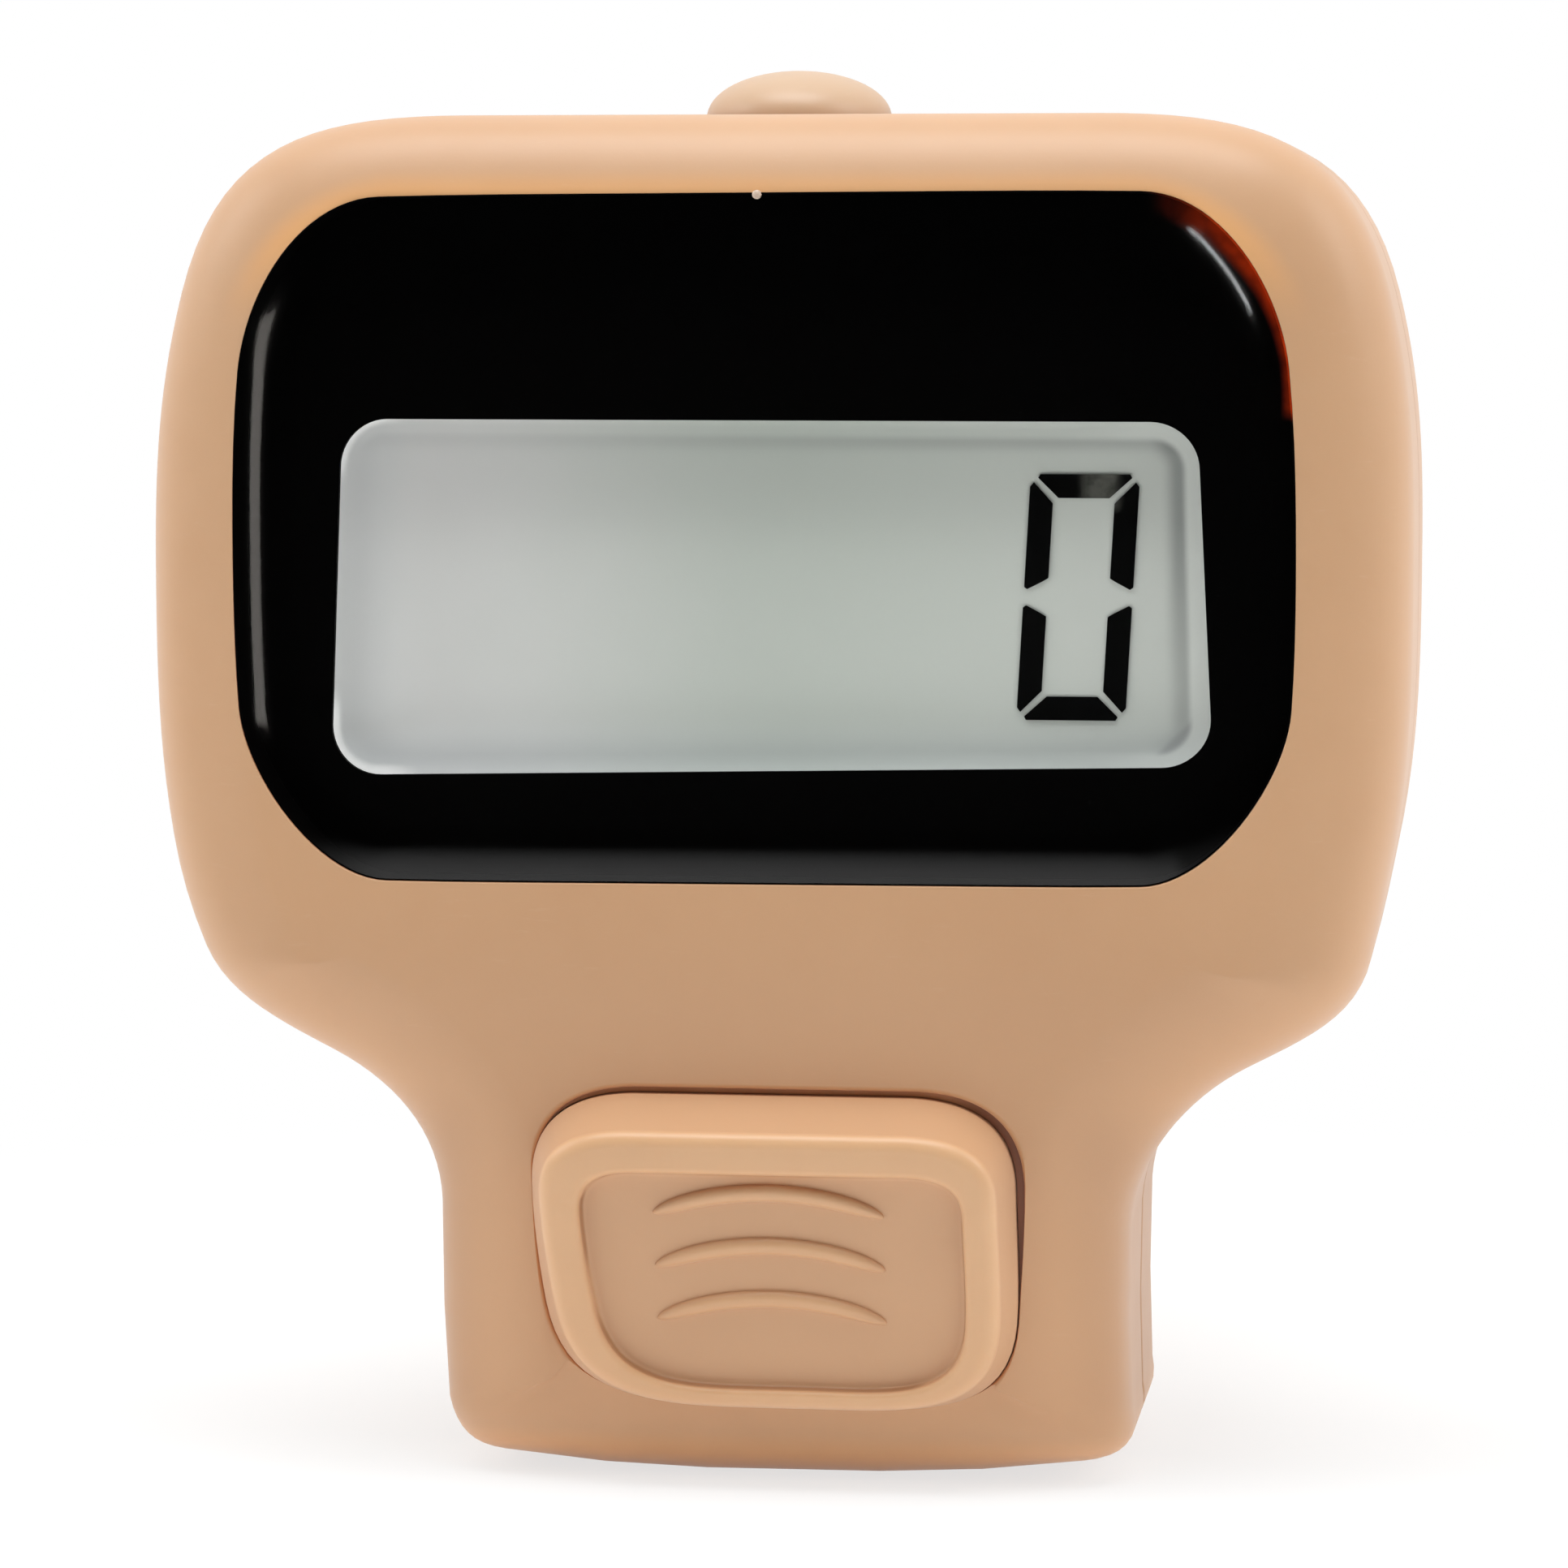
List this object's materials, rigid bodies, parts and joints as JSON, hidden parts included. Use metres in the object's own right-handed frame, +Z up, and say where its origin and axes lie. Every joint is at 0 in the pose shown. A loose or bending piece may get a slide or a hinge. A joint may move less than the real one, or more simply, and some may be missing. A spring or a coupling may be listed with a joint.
{
  "type": "digital finger counter",
  "caption": "Finger-worn digital counter: narrow-necked case with a black-bordered display window, thumb button, top reset button, twist-off battery door and hinged two-part finger strap.",
  "frame": {"origin": "on the back of the case, midway up the finger loop and on the case's middle plane", "axes": "+X to the wearer's right as the display is read, along the finger; +Y out of the back of the case, away from the viewer; +Z up towards the reset button"},
  "size_m": [0.0286, 0.0309, 0.032],
  "materials": {
    "case_plastic": "satin peach-beige moulded plastic",
    "button_plastic": "satin peach-beige moulded plastic, slightly paler than the case",
    "window": "clear gloss",
    "black_print": "black printed border",
    "display_film": "grey-green film",
    "display_glass": "clear",
    "grey_rubber": "matte",
    "contact_rubber": "matte pink silicone",
    "laminate": "green solder mask",
    "black_epoxy": "semi-matte",
    "ceramic": "matte tan",
    "steel": "bright steel",
    "spring_steel": "nickel-plated sheet",
    "strap_rubber": "soft matte peach-beige"
  },
  "bodies": {
    "case": {"front_case": "case_plastic", "rear_cover": "case_plastic", "window_lens": "window", "window_mask": "black_print", "lcd_polariser": "display_film", "lcd_front_glass": "display_glass", "lcd_rear_glass": "display_glass", "lcd_reflector": "display_film", "lcd_foam_pad": "grey_rubber", "zebra_strip": "contact_rubber", "circuit_board": "laminate", "chip_cover": "black_epoxy", "board_capacitor": "ceramic", "board_resistor": "black_epoxy", "count_dome": "grey_rubber", "reset_switch_body": "black_epoxy", "cell_can": "steel", "cell_seal": "grey_rubber", "cell_cap": "steel", "cell_minus_spring": "spring_steel", "cell_plus_spring": "spring_steel", "case_screw_top_left": "steel", "case_screw_top_right": "steel", "case_screw_hip_left": "steel", "case_screw_hip_right": "steel", "strap_pin_upper": "steel", "strap_pin_lower": "steel"},
    "count_button": {"count_button": "button_plastic"},
    "contact_pill": {"count_contact_pill": "black_epoxy"},
    "reset_button": {"reset_button": "button_plastic"},
    "switch_plunger": {"reset_switch_plunger": "grey_rubber"},
    "battery_door": {"battery_door": "case_plastic"},
    "strap_upper": {"strap_upper": "strap_rubber"},
    "strap_lower": {"strap_lower": "strap_rubber"}
  },
  "joints": [
    {"name": "count_press", "type": "slide", "parent": "case", "child": "count_button", "axis": [0, 1, 0], "range_m": [0, 0.0007], "stiffness_N_per_m": 300, "springref_m": -0.0004, "deforming": ["count_dome"]},
    {"name": "contact_pill_press", "type": "slide", "parent": "case", "child": "contact_pill", "axis": [0, 1, 0], "range_m": [0, 0.0007]},
    {"name": "reset_press", "type": "slide", "parent": "case", "child": "reset_button", "axis": [0, 0, -1], "range_m": [0, 0.0004], "stiffness_N_per_m": 400, "springref_m": -0.0003},
    {"name": "switch_plunger_press", "type": "slide", "parent": "case", "child": "switch_plunger", "axis": [0, 0, -1], "range_m": [0, 0.0004]},
    {"name": "battery_door_turn", "type": "hinge", "parent": "case", "child": "battery_door", "pos_m": [0, 0, 0], "axis": [0, 1, 0], "range_deg": [0, 60]},
    {"name": "strap_upper_swing", "type": "hinge", "parent": "case", "child": "strap_upper", "pos_m": [0, 0.0016, 0.01045], "axis": [1, 0, 0], "range_deg": [-3, 85]},
    {"name": "strap_lower_swing", "type": "hinge", "parent": "case", "child": "strap_lower", "pos_m": [0, 0.0016, -0.01045], "axis": [1, 0, 0], "range_deg": [-85, 3]}
  ],
  "couplings": [
    {"joint": "contact_pill_press", "follows": "count_press", "ratio": 1},
    {"joint": "switch_plunger_press", "follows": "reset_press", "ratio": 1}
  ]
}
